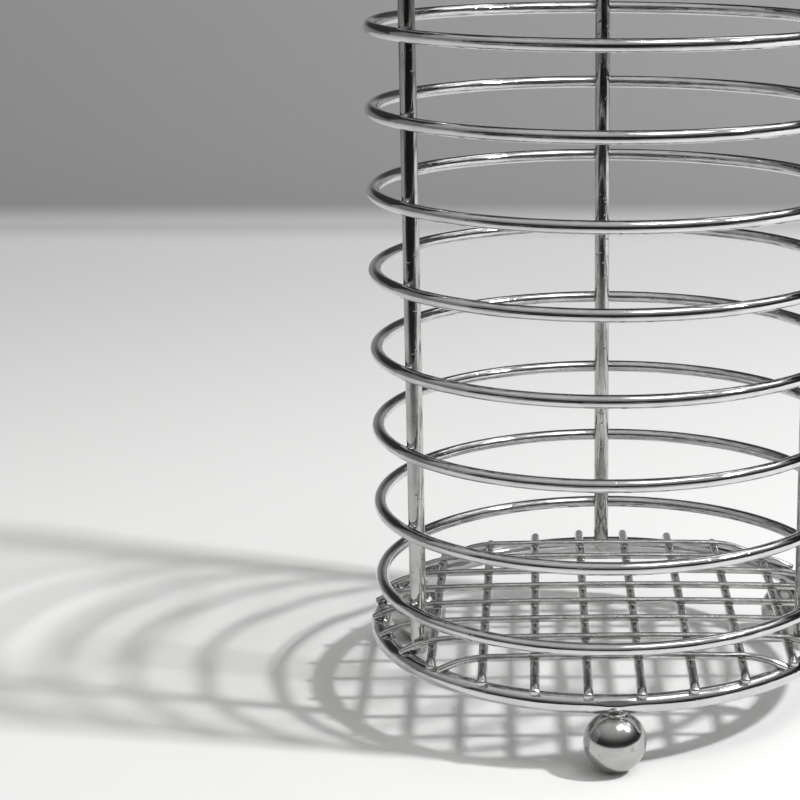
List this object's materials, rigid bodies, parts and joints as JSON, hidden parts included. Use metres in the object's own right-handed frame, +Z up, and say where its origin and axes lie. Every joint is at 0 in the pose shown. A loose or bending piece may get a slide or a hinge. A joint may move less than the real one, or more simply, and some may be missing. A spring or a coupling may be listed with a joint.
{
  "type": "cutlery organizer",
  "caption": "Tall round open basket of welded chrome wire rings on straight uprights, with a wire grid floor and ball feet, for standing cutlery or kitchen tools in.",
  "frame": {"origin": "on the supporting surface, under the middle of the basket", "axes": "+Z up; -Y to the front, where the single ball foot stands; +X to the right seen from the front"},
  "size_m": [0.1228, 0.1282, 0.1925],
  "materials": {
    "cage_wire": "bright chrome-plated round steel wire, drawn smooth",
    "floor_wire": "bright chrome-plated thin steel wire with slight weld marks",
    "ball_foot": "polished chrome-plated steel ball"
  },
  "bodies": {
    "root": {"base_ring": "cage_wire", "body_ring_1": "cage_wire", "body_ring_2": "cage_wire", "body_ring_3": "cage_wire", "body_ring_4": "cage_wire", "body_ring_5": "cage_wire", "body_ring_6": "cage_wire", "body_ring_7": "cage_wire", "body_ring_8": "cage_wire", "top_rim": "cage_wire", "upright_right": "cage_wire", "upright_back": "cage_wire", "upright_left": "cage_wire", "floor_long_1": "floor_wire", "floor_long_2": "floor_wire", "floor_long_3": "floor_wire", "floor_long_4": "floor_wire", "floor_long_5": "floor_wire", "floor_long_6": "floor_wire", "floor_long_7": "floor_wire", "floor_long_8": "floor_wire", "floor_cross_1": "floor_wire", "floor_cross_2": "floor_wire", "floor_cross_3": "floor_wire", "floor_cross_4": "floor_wire", "floor_cross_5": "floor_wire", "floor_cross_6": "floor_wire", "floor_cross_7": "floor_wire", "floor_cross_8": "floor_wire", "foot_front": "ball_foot", "foot_back_right": "ball_foot", "foot_back_left": "ball_foot"}
  },
  "joints": []
}
